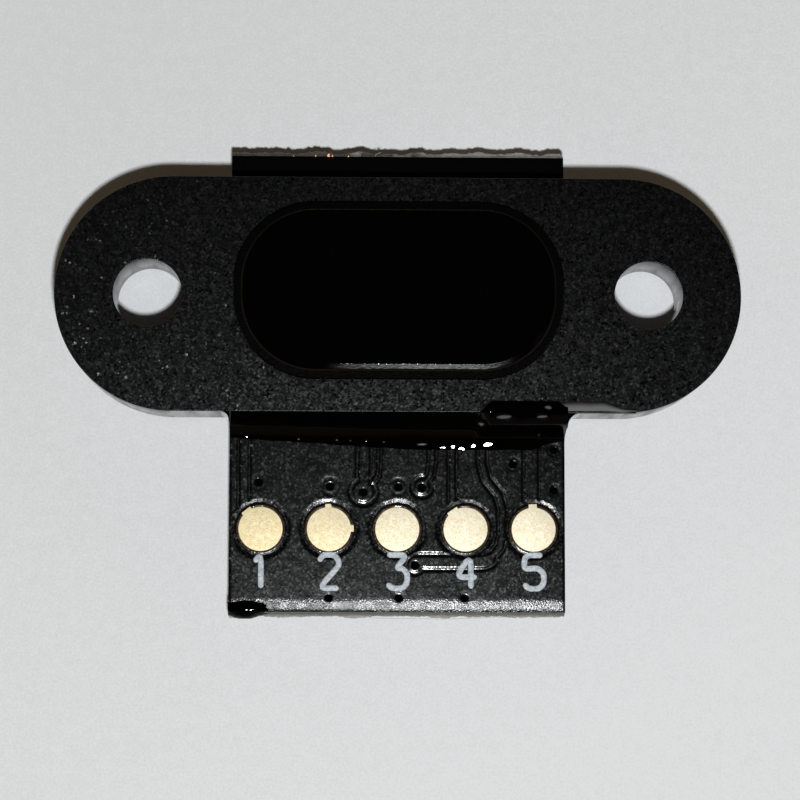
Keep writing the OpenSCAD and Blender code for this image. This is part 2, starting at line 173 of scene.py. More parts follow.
class Surface:
    """A procedural material: one Principled shader and the textures that feed it. Texture sizes are in mm."""

    def __init__(self, name, color, roughness, **shader_values):
        MATERIALS[name] = bpy.data.materials.new(name)
        MATERIALS[name].use_nodes = True
        self.tree = MATERIALS[name].node_tree
        self.shader = self.tree.nodes["Principled BSDF"]
        self.place = self.tree.nodes.new("ShaderNodeTexCoord").outputs["Object"]
        self.set("Base Color", (*color, 1))
        self.set("Roughness", roughness)
        for socket, value in shader_values.items():
            self.set(socket.replace("_", " "), value)

    def feed(self, socket, value):
        if isinstance(value, bpy.types.NodeSocket):
            self.tree.links.new(value, socket)
        else:
            socket.default_value = value

    def set(self, socket, value):
        self.feed(self.shader.inputs[socket], value)

    def node(self, kind, inputs, **properties):
        made = self.tree.nodes.new("ShaderNode" + kind)
        for key, value in properties.items():
            setattr(made, key, value)
        for socket, value in inputs.items():
            self.feed(made.inputs[socket], value)
        return made

    def vector(self, operation, inputs, output="Vector"):
        return self.node("VectorMath", inputs, operation=operation).outputs[output]

    def stretched(self, x, y, z):
        """Object coordinates squeezed along an axis, for grain that runs one way."""
        return self.vector("MULTIPLY", {0: self.place, 1: (x, y, z)})

    def along(self, x, y):
        """How far a point lies along the direction x, y, in metres times that direction's length."""
        return self.vector("DOT_PRODUCT", {0: self.place, 1: (x, y, 0)}, "Value")

    def noise(self, size, detail=2.0, at=None):
        inputs = {"Vector": at or self.place, "Scale": 1 / (size * MM), "Detail": detail}
        return self.node("TexNoise", inputs).outputs["Fac"]

    def cells(self, size):
        """A colour at random on each grain of that size in mm."""
        inputs = {"Vector": self.place, "Scale": 1 / (size * MM)}
        return self.node("TexVoronoi", inputs).outputs["Color"]

    def level(self, value, from_low, from_high, to_low, to_high):
        inputs = {"Value": value, "From Min": from_low, "From Max": from_high}
        inputs |= {"To Min": to_low, "To Max": to_high}
        return self.node("MapRange", inputs).outputs["Result"]

    def math(self, operation, a, b):
        return self.node("Math", {0: a, 1: b}, operation=operation).outputs[0]

    def mix(self, factor, a, b):
        """Blends two colours, each given as three numbers or as a socket."""
        a, b = (c if isinstance(c, bpy.types.NodeSocket) else (*c, 1) for c in (a, b))
        return self.node("Mix", {0: factor, 6: a, 7: b}, data_type="RGBA").outputs[2]

    def attribute(self, name):
        return self.node("Attribute", {}, attribute_name=name).outputs["Fac"]

    def bump(self, height, depth, under=None):
        """Adds relief of that depth in mm on top of the relief under it, and returns its normal."""
        inputs = {"Height": height, "Distance": depth * MM, "Strength": 1.0}
        made = self.node("Bump", inputs)
        if under is not None:
            self.feed(made.inputs["Normal"], under)
        self.set("Normal", made.outputs["Normal"])
        return made.outputs["Normal"]

    def chance(self, size):
        """A number from 0 to 1, any value as likely as any other, on each grain of that size in mm."""
        return self.node("SeparateColor", {"Color": self.cells(size)}).outputs["Red"]

    def facets(self, size, tilt):
        """A normal that leans a random way, by up to half of tilt, on each grain of that size in mm."""
        upright = self.node("NewGeometry", {}).outputs["Normal"]
        centred = self.vector("SUBTRACT", {0: self.cells(size), 1: (0.5, 0.5, 0.5)})
        lean = self.vector("SCALE", {0: centred, "Scale": tilt})
        return self.vector("NORMALIZE", {0: self.vector("ADD", {0: upright, 1: lean})})


def housing_grain():
    """Spark-textured black moulding: dark satin, with some steep, shinier grains that glint at the lamp."""
    s = Surface("housing_grain", (0.0008, 0.0009, 0.0009), 0.25, Specular_IOR_Level=0.26)
    tone = s.level(s.noise(0.5, 3), 0.35, 0.65, 0, 1)
    s.set("Base Color", s.mix(tone, (0.0005, 0.0006, 0.0006), (0.0011, 0.0012, 0.0012)))
    luck = s.chance(0.062)
    satin = s.level(s.noise(0.25, 2), 0.35, 0.7, 0.28, 0.24)
    s.set("Roughness", s.math("SUBTRACT", satin, s.level(luck, 0.9, 0.96, 0, 0.06)))
    steep_grains = s.level(luck, 0.9, 0.96, 0.11, 0.46)
    s.bump(s.noise(0.08, 1), 0.003, s.facets(0.062, steep_grains))


def housing_smooth():
    """The walls of the same moulding, which slid along the polished sides of the mould."""
    s = Surface("housing_smooth", (0.0025, 0.0025, 0.0025), 0.22, Specular_IOR_Level=0.4)
    drag = s.noise(0.3, 2, s.stretched(1, 1, 0.12))
    s.set("Roughness", s.level(drag, 0.35, 0.65, 0.14, 0.3))
    s.bump(drag, 0.003)


def window_filter():
    """Polished infrared-pass plastic, black to the eye, with a scratched cut edge."""
    s = Surface("window_filter", (0.0005, 0.0005, 0.0006), 0.06, Specular_IOR_Level=0.45)
    edge = s.attribute("cut_edge")
    scratches = s.noise(0.05, 3, s.stretched(0.4, 1, 1))
    torn = s.math("MULTIPLY", edge, s.level(scratches, 0.3, 0.7, 0.28, 0.45))
    s.set("Roughness", s.math("ADD", 0.06, torn))
    s.bump(s.math("MULTIPLY", edge, s.math("SUBTRACT", scratches, 0.5)), 0.014)


def solder_mask():
    """Glossy black solder mask: brown where it thins at a pad's rim, scuffed round the pads and at the tail.
    Shine scales its mirror strength, and dusty its thin, grainy haze."""
    s = Surface("solder_mask", (0.0008, 0.0009, 0.001), 0.14, Specular_IOR_Level=0.5)
    s.set("Base Color", s.mix(s.attribute("rim"), (0.0008, 0.0009, 0.001), (0.03, 0.016, 0.005)))
    s.set("Specular IOR Level", s.math("MULTIPLY", s.attribute("shine"), 0.5))
    scuffed = s.attribute("scuffed")
    s.set("Roughness", s.level(scuffed, 0, 1, 0.13, 0.245))
    s.set("Coat Weight", s.math("MULTIPLY", s.attribute("dusty"), 0.11))
    s.set("Coat Roughness", 0.3)
    s.set("Coat Normal", s.facets(0.058, s.level(s.chance(0.058), 0.85, 0.92, 0.16, 0.42)))
    peel = s.bump(s.noise(0.06, 1), 0.002, s.bump(s.noise(0.16, 2), 0.0024))
    chips = s.math("MULTIPLY", scuffed, s.math("SUBTRACT", s.noise(0.045, 2), 0.5))
    s.bump(chips, 0.013, peel)


def solder_mask_rear():
    """The same solder mask on the rear, where nothing is thinned or scuffed."""
    s = Surface("solder_mask_rear", (0.0015, 0.0016, 0.0018), 0.2, Specular_IOR_Level=0.5)
    s.set("Roughness", s.level(s.noise(0.3, 2), 0.3, 0.7, 0.16, 0.27))
    s.bump(s.noise(0.06, 1), 0.0022, s.bump(s.noise(0.16, 2), 0.004))


def gold_plate():
    """Soft gold on etched copper: pale, matt grain with dull specks, and deeper gold toward the left."""
    s = Surface("gold_plate", (0.8, 0.73, 0.55), 0.62, Metallic=1.0)
    tone = s.level(s.noise(0.12, 3), 0.35, 0.68, 0, 1)
    specks = s.level(s.noise(0.04, 1), 0.24, 0.36, 0, 1)
    left = s.mix(tone, (0.64, 0.54, 0.33), (0.74, 0.655, 0.44))
    right = s.mix(tone, (0.69, 0.62, 0.45), (0.785, 0.73, 0.6))
    gold = s.mix(s.level(s.along(1, 0), -0.003, 0.0005, 0, 1), left, right)
    s.set("Base Color", s.mix(specks, (0.4, 0.31, 0.16), gold))
    s.set("Roughness", s.level(s.noise(0.05, 2), 0.3, 0.7, 0.58, 0.66))
    s.bump(s.noise(0.035, 2), 0.0015)


def copper():
    s = Surface("copper", (0.75, 0.36, 0.16), 0.3, Metallic=1.0)
    s.set("Roughness", s.level(s.noise(0.05, 2), 0.3, 0.7, 0.2, 0.4))
    s.bump(s.noise(0.03, 2), 0.002)


def marking_ink():
    """White ink, thin enough that the board's black cools it to blue grey."""
    s = Surface("marking_ink", (0.5, 0.56, 0.62), 0.45, Specular_IOR_Level=0.4)
    cover = s.level(s.noise(0.07, 3), 0.3, 0.7, 0, 1)
    s.set("Base Color", s.mix(cover, (0.3, 0.35, 0.4), (0.62, 0.67, 0.72)))
    s.bump(s.noise(0.05, 2), 0.004)


def epoxy_glue():
    """Cured black epoxy, wet-looking, with a few dulled patches."""
    s = Surface("epoxy_glue", (0.0004, 0.0004, 0.0005), 0.05, Specular_IOR_Level=0.15)
    s.set("Roughness", s.level(s.attribute("haze"), 0, 1, 0.05, 0.42))
    s.bump(s.noise(0.3, 2), 0.003)


def glue_smear_and_painted_highlight():
    """A smeared, dusty film of the same glue, thinning to nothing at its edges. Where it runs along the ear's
    lower edge, its grey is partly a painted highlight of the housing's rounded edge.
    """
    s = Surface("glue_smear_and_painted_highlight", (0.03, 0.03, 0.03), 0.5, Specular_IOR_Level=0.3)
    # partly painted highlight: the grey share also stands for light on the housing's rounded edge
    tone = s.math("MULTIPLY", s.attribute("wiped"), s.level(s.noise(0.5, 2), 0.3, 0.7, 0.75, 1.1))
    s.set("Base Color", s.mix(tone, (0.001, 0.001, 0.001), (0.11, 0.108, 0.108)))
    s.set("Roughness", s.level(tone, 0, 1, 0.35, 0.55))
    s.bump(s.noise(0.1, 2), 0.002)


def laminate():
    """Snapped glass-fibre laminate: pale broken glass in places, brown resin in others."""
    s = Surface("laminate", (0.4, 0.38, 0.32), 0.6, Specular_IOR_Level=0.4)
    glass = s.attribute("glass")
    grain = s.noise(0.05, 2, s.stretched(0.35, 1, 1))
    shade = s.math("MULTIPLY", glass, s.level(grain, 0.3, 0.65, 0.45, 1))
    s.set("Base Color", s.mix(shade, (0.022, 0.015, 0.009), (0.6, 0.6, 0.58)))
    s.set("Roughness", s.level(grain, 0.3, 0.7, 0.4, 0.75))
    s.bump(grain, 0.012)


def glass_fibre():
    s = Surface("glass_fibre", (0.55, 0.55, 0.52), 0.35, Specular_IOR_Level=0.6)
    s.set("Base Color", s.mix(s.noise(0.2, 2), (0.3, 0.3, 0.28), (0.7, 0.7, 0.67)))


def metal(name, color, rough_low, rough_high, grain):
    """Tin plating or solder: grey metal whose roughness varies with its grain."""
    s = Surface(name, color, rough_high, Metallic=1.0)
    s.set("Roughness", s.level(s.noise(grain, 3), 0.3, 0.7, rough_low, rough_high))
    s.bump(s.noise(grain, 2), grain * 0.03)


def sintered(name, dark, light, roughness, grain):
    """Ceramics, ferrite, moulding compound and laminate: two close tones and a fine grain."""
    s = Surface(name, dark, roughness, Specular_IOR_Level=0.4)
    s.set("Base Color", s.mix(s.level(s.noise(grain * 4, 3), 0.35, 0.65, 0, 1), dark, light))
    s.set("Roughness", s.level(s.noise(grain, 2), 0.3, 0.7, roughness - 0.08, roughness + 0.08))
    s.bump(s.noise(grain, 2), grain * 0.06)


def receiver_glass():
    s = Surface("receiver_glass", (0.3, 0.06, 0.1), 0.05, Transmission_Weight=0.7)
    s.set("Roughness", s.level(s.noise(0.2, 2), 0.3, 0.7, 0.03, 0.08))


def paper():
    """Plain pale paper under the part, with painted light: its colour is a little brighter toward the front
    right, as if lit more there.
    """
    s = Surface("paper", (0.8, 0.8, 0.8), 0.9, Specular_IOR_Level=0.2)
    fibres = s.level(s.noise(0.35, 4), 0.3, 0.7, -0.12, 0.12)
    grain = s.level(s.noise(0.07, 2), 0.3, 0.7, -0.35, 0.35)
    # painted light: this gradient brightens the paper's colour toward the front right, standing in for uneven
    # lamp light
    tone = s.math("ADD", s.level(s.along(0.5, -0.7), -0.01, 0.012, 0.1, 0.9), s.math("ADD", fibres, grain))
    s.set("Base Color", s.mix(tone, (0.724, 0.735, 0.742), (0.836, 0.844, 0.86)))
    s.bump(fibres, 0.02)


housing_grain()
housing_smooth()
window_filter()
solder_mask()
solder_mask_rear()
gold_plate()
copper()
marking_ink()
epoxy_glue()
glue_smear_and_painted_highlight()
laminate()
glass_fibre()
metal("solder", (0.72, 0.72, 0.73), 0.12, 0.3, 0.12)
metal("tin_plate", (0.7, 0.7, 0.69), 0.3, 0.5, 0.06)
sintered("adhesive", (0.02, 0.02, 0.02), (0.04, 0.04, 0.04), 0.7, 0.06)
sintered("chip_plastic", (0.012, 0.012, 0.012), (0.022, 0.022, 0.022), 0.6, 0.05)
sintered("chip_substrate", (0.03, 0.025, 0.015), (0.05, 0.04, 0.025), 0.6, 0.06)
sintered("silicon", (0.08, 0.08, 0.1), (0.16, 0.14, 0.2), 0.2, 0.1)
sintered("capacitor_ceramic", (0.26, 0.17, 0.1), (0.36, 0.25, 0.16), 0.5, 0.05)
sintered("resistor_ceramic", (0.68, 0.68, 0.65), (0.8, 0.8, 0.78), 0.55, 0.05)
sintered("resistor_glaze", (0.006, 0.006, 0.007), (0.014, 0.014, 0.016), 0.25, 0.08)
sintered("ferrite", (0.03, 0.03, 0.033), (0.06, 0.06, 0.063), 0.55, 0.04)
receiver_glass()
paper()


# ---------------- mesh tools


def in_scene(name, data):
    """A new object in the scene that holds this mesh, light or camera."""
    made = bpy.data.objects.new(name, data)
    bpy.context.scene.collection.objects.link(made)
    return made


def new_mesh(name, vertices, faces):
    """Vertices are in mm."""
    mesh = bpy.data.meshes.new(name)
    mesh.from_pydata([Vector(v) * MM for v in vertices], [], faces)
    return mesh


def face_outward(mesh, weld=False):
    work = bmesh.new()
    work.from_mesh(mesh)
    if weld:
        bmesh.ops.remove_doubles(work, verts=work.verts, dist=1e-8)
    bmesh.ops.recalc_face_normals(work, faces=work.faces)
    work.to_mesh(mesh)
    work.free()


def piece(name, vertices, faces, material, replaced=(), sharp=40):
    """A mesh piece that rides on the one body. Edges past the sharp angle, in degrees, stay sharp."""
    return finish_piece(new_mesh(name, vertices, faces), name, [material], replaced, sharp)


def finish_piece(mesh, name, materials, replaced=(), sharp=40):
    face_outward(mesh)
    mesh.shade_smooth()
    mesh.set_sharp_from_angle(angle=math.radians(sharp))
    made = in_scene(name, mesh)
    for material in materials:
        mesh.materials.append(MATERIALS[material])
    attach(made, "root")
    if replaced:
        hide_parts(*replaced)
    return made


def paint(made, **tones):
    """Stores named values on a piece's vertices for its material. Vertices past the last value get 0."""
    for name, values in tones.items():
        padded = np.zeros(len(made.data.vertices), np.float32)
        padded[: np.size(values)] = np.ravel(values)
        made.data.attributes.new(name, "FLOAT", "POINT").data.foreach_set("value", padded)


def circle(radius, centre, steps=96):
    turns = [2 * math.pi * i / steps for i in range(steps)]
    return [(centre[0] + radius * math.cos(a), centre[1] + radius * math.sin(a)) for a in turns]


def rounded(width, height, radius, steps=24, centre=(0, 0)):
    """The outline of a rectangle with round corners, or of a stadium when radius is half the height."""
    points = []
    for corner, (sx, sy) in enumerate(((1, 1), (-1, 1), (-1, -1), (1, -1))):
        cx = centre[0] + sx * (width / 2 - radius)
        cy = centre[1] + sy * (height / 2 - radius)
        for i in range(steps + 1):
            a = math.pi / 2 * (corner + i / steps)
            points.append((cx + radius * math.cos(a), cy + radius * math.sin(a)))
    return points


def part_way(a, b, k, count):
    """The point k steps out of count along the way from a to b."""
    return a[0] + (b[0] - a[0]) * k / count, a[1] + (b[1] - a[1]) * k / count


def subdivided(outline, longest):
    """Splits the long sides of a closed outline, and always into the same number of points."""
    points = []
    for a, b in zip(outline, outline[1:] + outline[:1]):
        count = max(1, round(math.dist(a, b) / longest))
        points += [part_way(a, b, k, count) for k in range(count)]
    return points


def add_loft(vertices, faces, rings):
    """Adds a closed solid through rings of points that all have the same number of points."""
    start, n = len(vertices), len(rings[0])
    for ring in rings:
        vertices += ring
    for r in range(len(rings) - 1):
        a, b = start + r * n, start + (r + 1) * n
        faces += [(a + i, a + (i + 1) % n, b + (i + 1) % n, b + i) for i in range(n)]
    faces.append(tuple(range(start, start + n)))
    faces.append(tuple(range(start + (len(rings) - 1) * n, start + len(rings) * n)))


def prism(outline, z0, z1):
    """A mesh object for cutting with, not shown and removed after use."""
    vertices, faces = [], []
    add_loft(vertices, faces, [[(x, y, z) for x, y in outline] for z in (z0, z1)])
    mesh = new_mesh("cutter", vertices, faces)
    face_outward(mesh, weld=True)
    return in_scene("cutter", mesh)


def round_edges(made, width_mm, segments):
    edge = made.modifiers.new("edge", "BEVEL")
    edge.width = width_mm * MM
    edge.segments = segments
    edge.limit_method = "ANGLE"
    edge.angle_limit = math.radians(35)


def cut(blank, cutters, bevel_mm):
    """Subtracts the cutters, rounds the sharp edges and returns the mesh. Removes all the objects it used."""
    for cutter in cutters:
        step = blank.modifiers.new("cut", "BOOLEAN")
        step.operation = "DIFFERENCE"
        step.solver = "EXACT"
        step.object = cutter
    round_edges(blank, bevel_mm, 3)
    mesh = bpy.data.meshes.new_from_object(blank.evaluated_get(bpy.context.evaluated_depsgraph_get()))
    for used in [blank, *cutters]:
        bpy.data.objects.remove(used)
    return mesh


def add_tube(vertices, faces, path, radius, sides=6):
    """Adds a thin round thread along the path, tapered to nothing much at both ends."""
    rings = []
    for i, point in enumerate(path):
        ahead = Vector(path[min(i + 1, len(path) - 1)]) - Vector(path[max(i - 1, 0)])
        side = ahead.cross(Vector((0, 0, 1))).normalized()
        up = side.cross(ahead).normalized()
        r = radius * (0.3 if i in (0, len(path) - 1) else 1)
        ring = []
        for k in range(sides):
            a = 2 * math.pi * k / sides
            ring.append(tuple(Vector(point) + side * (r * math.cos(a)) + up * (r * math.sin(a))))
        rings.append(ring)
    add_loft(vertices, faces, rings)


# ---------------- housing and window


def housing_shell():
    """The moulded housing: holes, board channel, window seat and aperture, with worn-in edges.
    The seat is cut last, because its edges stay nearly sharp."""
    worn_edge, seat_edge, seat_gap = 0.02, 0.004, 0.03
    above = FRONT_Z + 1
    below = -1
    stadium = rounded(HOUSING_W, HOUSING_H, HOUSING_H / 2 - 1e-4, 64)
    seat_w, seat_h = WINDOW_W + 2 * seat_gap, WINDOW_H + 2 * seat_gap
    seat = rounded(seat_w, seat_h, WINDOW_R + seat_gap, 24, (0, WINDOW_Y))
    channel = rounded(CHANNEL_W, HOUSING_H + 2, 0.05, 1)
    cutters = [prism(circle(HOLE_R, (x, 0)), below, above) for x in (-HOLE_X, HOLE_X)]
    cutters += [prism(channel, below, BOARD_Z), prism(rounded(*APERTURE, 8), BOARD_Z - 0.5, above)]
    without_seat = in_scene("without_seat", cut(prism(stadium, 0, FRONT_Z), cutters, worn_edge))
    mesh = cut(without_seat, [prism(seat, RECESS_Z, above)], seat_edge)
    looks = ["housing_grain", "housing_smooth"]
    made = finish_piece(mesh, "housing_shell", looks, ["housing"], 60)
    flat = made.modifiers.new("flat_faces", "WEIGHTED_NORMAL")
    flat.keep_sharp = True
    flat.weight = 100
    for face in mesh.polygons:
        face.material_index = 0 if abs(face.normal.z) > 0.2 else 1
    return made


def window_insert():
    """The window: a flange in its seat, a step, a narrow cut edge and a flat polished face.
    The edge is scratched along the bottom, worn toward its right, and leans less in its upper part."""
    top = WINDOW_HIGH.z
    flange = FRONT_Z + 0.06
    flange_in, edge_out, edge_in = 0.215, 0.268, 0.4
    profile = [(0, WINDOW_LOW.z), (0, flange), (flange_in, flange), (edge_out - 0.012, top - 0.1)]
    profile += [(edge_out + (edge_in - edge_out) * k / 4, top) for k in (0, 0.2, 1, 2, 3, 3.8, 4)]
    profile += [(edge_in + 0.02, top), (edge_in + 0.25, top)]
    rings, tones = [], []
    for inset, z in profile:
        outline = rounded(WINDOW_W - 2 * inset, WINDOW_H - 2 * inset, WINDOW_R - inset, 32, (0, WINDOW_Y))
        ring = []
        for x, y in subdivided(outline, 0.15):
            worn = float(band(x, -1.0, 3.0, 0.9)) * 0.17 + float(band(x, 0.6, 2.5, 0.9)) * 0.1
            upper = ease(WINDOW_Y - 1.4, WINDOW_Y - 0.6, y)
            lean = 0.5 - worn * (1 - upper) - 0.17 * upper + 0.03 * rough(x / 0.3, 0, 6)
            on_edge = z == top and inset < edge_in
            drop = lean * (edge_in - inset) if on_edge else 0
            ring.append((x, y, z - drop))
            scratched = smooth_step(WINDOW_Y - 1.0, WINDOW_Y - 1.9, y) * band(x, -1.9, 3.3, 0.5)
            tones.append(float(scratched) if on_edge else 0.2 * (z < top))
        rings.append(ring)
    vertices, faces = [], []
    add_loft(vertices, faces, rings)
    made = piece("window_insert", vertices, faces, "window_filter", ["window"], 9)
    paint(made, cut_edge=tones)
    return made


# ---------------- circuit board

SKIN = 0.055
TAIL_Y = MASK_LOW.y
HEAD_Y = MASK_HIGH.y
GROOVE = 0.02
# Copper tracks under the front mask, which run on under the glue: (half width, gap beside it, points)
TRACK_TOP = -3.5
TRACKS = [
    (0.1, 0.08, [(-4.5, TRACK_TOP), (-4.5, PAD_Y + 0.55)]),
    (0.13, 0.11, [(-0.96, TRACK_TOP), (-0.98, -5.68)]),
    (0.03, 0.07, [(-0.56, TRACK_TOP), (-0.56, -5.15), (-0.72, -5.4)]),
    (0.06, 0.08, [(1.62, TRACK_TOP), (1.62, PAD_Y + 0.5)]),
    (0.07, 0.09, [(2.5, TRACK_TOP), (2.5, -5.17), (3.09, -5.9), (3.09, -7.2), (2.7, -7.65)]),
    (0.15, 0.1, [(2.7, -7.65), (2.5, -7.74), (0.52, -7.74)]),
    (0.17, 0.08, [(3.94, TRACK_TOP), (3.94, PAD_Y + 0.6)]),
    (0.05, 0.08, [(1.03, TRACK_TOP), (1.03, -5.1), (0.72, -5.54)]),
]
# Plated holes under the front mask: (x, y, inner and outer radius of the gap round the pad, depth share)
FRONT_HOLES = [
    (-4.07, -5.41, 0.15, 0.25, 0.2),
    (-1.97, -5.52, 0.18, 0.29, 0.35),
    (-1.0, -5.68, 0.3, 0.45, 1.0),
    (0.03, -5.53, 0.17, 0.27, 0.35),
    (0.72, -5.54, 0.22, 0.35, 1.0),
    (3.4, -4.85, 0.14, 0.22, 0.4),
    (4.6, -4.43, 0.13, 0.2, 0.4),
    (4.6, -5.61, 0.13, 0.2, 0.3),
    (0.52, -7.82, 0.2, 0.32, 0.8),
    (-2.0, -8.79, 0.12, 0.2, 0.12),
    (0.05, -8.79, 0.12, 0.2, 0.12),
    (1.98, -8.79, 0.12, 0.2, 0.12),
]
RIM_R = PAD_R + 0.05
# The gap round each pad is level up to the first radius, and has closed at the second
GAP_R, CLOSED_R = 0.78, 0.91
# Where the mask's slope round each pad gleams: (angle of its middle in degrees, half width, strength)
GLEAMS = [(100, 50, 0.05), (122, 45, 0.3), (112, 45, 0.42), (90, 30, 0), (55, 30, 0.2)]
SNAP_Y = TAIL_Y + 0.34


def front_relief(x, y):
    """Height of the front mask over its level, as the copper under it and its own flow make it."""
    groove = np.zeros(np.shape(x))
    copper_there = np.zeros(np.shape(x))
    for half, gap, path in TRACKS:
        d = distance_to_path(x, y, rounded_corners(path, 1))
        groove = np.maximum(groove, band(d, half + 0.02, half + gap + 0.02, 0.04))
        copper_there = np.maximum(copper_there, 1 - smooth_step(half - 0.02, half + 0.03, d))
    dips = np.zeros(np.shape(x))
    for hole_x, hole_y, inner, outer, share in FRONT_HOLES:
        r = np.hypot(x - hole_x, y - hole_y)
        groove = np.where(r < outer, groove * (r > inner), groove)
        groove = np.maximum(groove, share * band(r, inner, outer, 0.04))
        dips += 0.04 * np.exp(-((r / 0.075) ** 2))
    groove *= 1 - copper_there
    uneven = ripple(x, y, 0.12, 6.6)
    for pad_x in PAD_X:
        r = np.hypot(x - pad_x, y - PAD_Y)
        groove *= smooth_step(0.8, 0.95, r)
        ring = smooth_step(RIM_R, RIM_R + 0.05, r) * (1 - smooth_step(GAP_R, CLOSED_R, r + 0.014 * uneven))
        groove = np.maximum(groove, ring)
    level = -GROOVE * 0.8 * groove - dips
    level += 0.0018 * ripple(x, y, 0.55, 3.1) + 0.0009 * ripple(x, y, 0.2, 8.7)
    bend_length = 0.2
    snapped = np.maximum(0, SNAP_Y - y)
    bend = np.minimum(1, snapped / bend_length)
    turned = bend_length * (bend**3 - bend**4 / 2) + np.maximum(0, snapped - bend_length)
    level -= (0.135 - 0.04 * smooth_step(-4.5, 1.5, x)) * turned + 1.1 * np.maximum(0, snapped - 0.22) ** 2
    level -= 0.003 * smooth_step(0, 0.2, snapped) * ripple(x, y, 0.2, 5.3)
    level -= 0.012 * smooth_step(BOARD_X - 0.07, BOARD_X, np.abs(x))
    level -= 0.008 * smooth_step(HEAD_Y - 0.08, HEAD_Y, y)
    return level


def skin_slab(xs, ys, top, bottom_z):
    """A closed slab: a grid of heights on top, its rim carried down, and a flat underside."""
    nx, ny = len(xs), len(ys)
    grid_x, grid_y = np.meshgrid(xs, ys, indexing="ij")
    vertices = list(zip(grid_x.ravel(), grid_y.ravel(), top.ravel()))
    index = np.arange(nx * ny).reshape(nx, ny)
    a, b = index[:-1, :-1].ravel(), index[1:, :-1].ravel()
    c, d = index[1:, 1:].ravel(), index[:-1, 1:].ravel()
    faces = list(zip(a.tolist(), b.tolist(), c.tolist(), d.tolist()))
    rim = [*index[:, 0], *index[-1, 1:], *index[-2::-1, -1], *index[0, -2:0:-1]]
    start = len(vertices)
    vertices += [(vertices[i][0], vertices[i][1], bottom_z) for i in rim]
    n = len(rim)
    faces += [(int(rim[(i + 1) % n]), int(rim[i]), start + i, start + (i + 1) % n) for i in range(n)]
    faces.append(tuple(range(start, start + n)))
    return vertices, faces


def mask_tones(x, y):
    """Where the front mask is thin at a pad's rim, scuffed, dusty and shiny.
    The snapped tail shines more toward the right."""
    rim, pitted, dull, sunk = (np.zeros(np.shape(x)) for _ in range(4))
    for pad_x, (middle, half_width, strength) in zip(PAD_X, GLEAMS):
        r = np.hypot(x - pad_x, y - PAD_Y)
        rim = np.maximum(rim, 1 - smooth_step(RIM_R - 0.01, RIM_R + 0.04, r))
        around = band(r, RIM_R, CLOSED_R + 0.03, 0.04)
        off = np.abs(np.degrees(np.arctan2(y - PAD_Y, x - pad_x)) - middle) / half_width
        pitted = np.maximum(pitted, around)
        dull = np.maximum(dull, around * (1 - strength * (1 - smooth_step(0.5, 1.4, off))))
    for hole_x, hole_y, *_ in FRONT_HOLES:
        sunk = np.maximum(sunk, 1 - smooth_step(0.1, 0.17, np.hypot(x - hole_x, y - hole_y)))
    scuffed = smooth_step(-0.12, 0.12, SNAP_Y - y) * (0.9 + 0.25 * ripple(x, y, 0.25, 2.4))
    scuffed = np.maximum(scuffed, pitted * (0.25 + 0.2 * ripple(x, y, 0.3, 4.4)))
    dusty = np.where(y < 0, 1 - sunk, 0.0)
    shine = (1 - sunk) * (1 - 0.93 * dull)
    shine *= 1 + (y < SNAP_Y) * scuffed * (0.9 * smooth_step(-4.5, 3.5, x) - 0.25)
    return {"rim": rim, "scuffed": scuffed, "dusty": dusty, "shine": shine}


def front_mask():
    """The front solder mask, with the tracks and plated holes showing through it."""
    cell, beside_pad, under_pad = 0.03, -0.007, -0.044
    tail_rows = np.arange(TAIL_Y, WALL_Y + 0.2, cell)
    hidden_rows = np.linspace(WALL_Y + 0.25, -WALL_Y - 0.1, 8)
    head_rows = np.arange(-WALL_Y, HEAD_Y, 0.06)
    ys = np.concatenate([tail_rows, hidden_rows, head_rows, [HEAD_Y]])
    xs = np.linspace(-BOARD_X, BOARD_X, round(2 * BOARD_X / cell) + 1)
    x, y = np.meshgrid(xs, ys, indexing="ij")
    height = front_relief(x, y)
    covered = (y > WALL_Y - 0.02) & (y < -WALL_Y + 0.02)
    height = np.where(covered, np.minimum(height, -0.004), height)
    for pad_x in PAD_X:
        r = np.hypot(x - pad_x, y - PAD_Y)
        height = np.where(r < RIM_R, beside_pad, height)
        height = np.where(r < PAD_R - 0.06, under_pad, height)
    vertices, faces = skin_slab(xs, ys, BOARD_Z + height, BOARD_Z - SKIN)
    made = piece("front_mask", vertices, faces, "solder_mask", ["front_solder_mask"], 60)
    paint(made, **mask_tones(x, y))
    return made


def broken_edge(x, z, seed):
    """How far the snapped laminate sticks out at this place along the board and this height."""
    middle = math.exp(-(((z - 0.38) / 0.2) ** 2))
    coarse = rough(x / 0.55, z / 0.5, seed)
    fine = rough(x / 0.12, z / 0.09, seed + 9)
    hair = rough(x / 0.05, z / 0.05, seed + 21)
    return middle * (0.72 + 0.35 * coarse) + 0.2 * fine + 0.12 * hair


